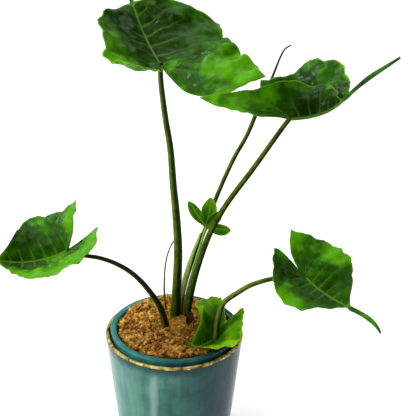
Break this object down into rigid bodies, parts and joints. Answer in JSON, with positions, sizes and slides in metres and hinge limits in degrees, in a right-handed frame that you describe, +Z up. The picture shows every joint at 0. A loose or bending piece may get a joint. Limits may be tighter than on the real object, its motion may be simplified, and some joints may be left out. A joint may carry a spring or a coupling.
{
  "type": "potted alocasia",
  "caption": "Long-tailed alocasia with folded heart-shaped leaves on slender stalks, rooted under golden moss in a glazed inner pot that stands in a round blue-green outer pot.",
  "frame": {"origin": "centre of the outer pot's flat underside", "axes": "+Z up along the pot's axis; -Y towards the side the plant is looked at from; the tall leaves lean to -X and +X"},
  "size_m": [0.4252, 0.2137, 0.5351],
  "materials": {
    "glazed_ceramic_outer": "glossy blue-green crackled glaze over stoneware, a gold-brown line round the rim",
    "glazed_ceramic_inner": "glossy deep teal glaze",
    "soil": "dark moist potting soil",
    "moss": "dry golden-brown shredded moss",
    "crown": "brown fibrous crown with pale specks",
    "dry_scale": "dead dark-brown papery scale",
    "sheath": "pale green smooth sheath",
    "young_green": "fresh yellow-green skin, satin",
    "petiole_green": "smooth waxy dark green stem skin",
    "leaf_green": "deep green waxy leaf skin, satin gloss, paler veins",
    "offset_green": "bright yellow-green young leaf skin"
  },
  "bodies": {
    "root": {"outer_pot": "glazed_ceramic_outer", "inner_pot": "glazed_ceramic_inner", "potting_soil": "soil", "moss_mulch": "moss", "main_crown": "crown", "offset_crown": "crown", "petiole_tall_left": "petiole_green", "petiole_tall_right": "petiole_green", "petiole_low_left": "petiole_green", "petiole_low_right": "petiole_green", "petiole_new_leaf": "petiole_green", "petiole_young_leaf": "young_green", "petiole_offset_leaf": "petiole_green", "blade_tall_left": "leaf_green", "blade_tall_right": "leaf_green", "blade_low_left": "leaf_green", "blade_low_right": "leaf_green", "blade_offset_leaf": "offset_green", "blade_young_leaf": "young_green", "rolled_new_leaf": "petiole_green", "new_leaf_sheath": "sheath", "thin_shoot": "young_green", "dry_scale": "dry_scale"}
  },
  "joints": []
}
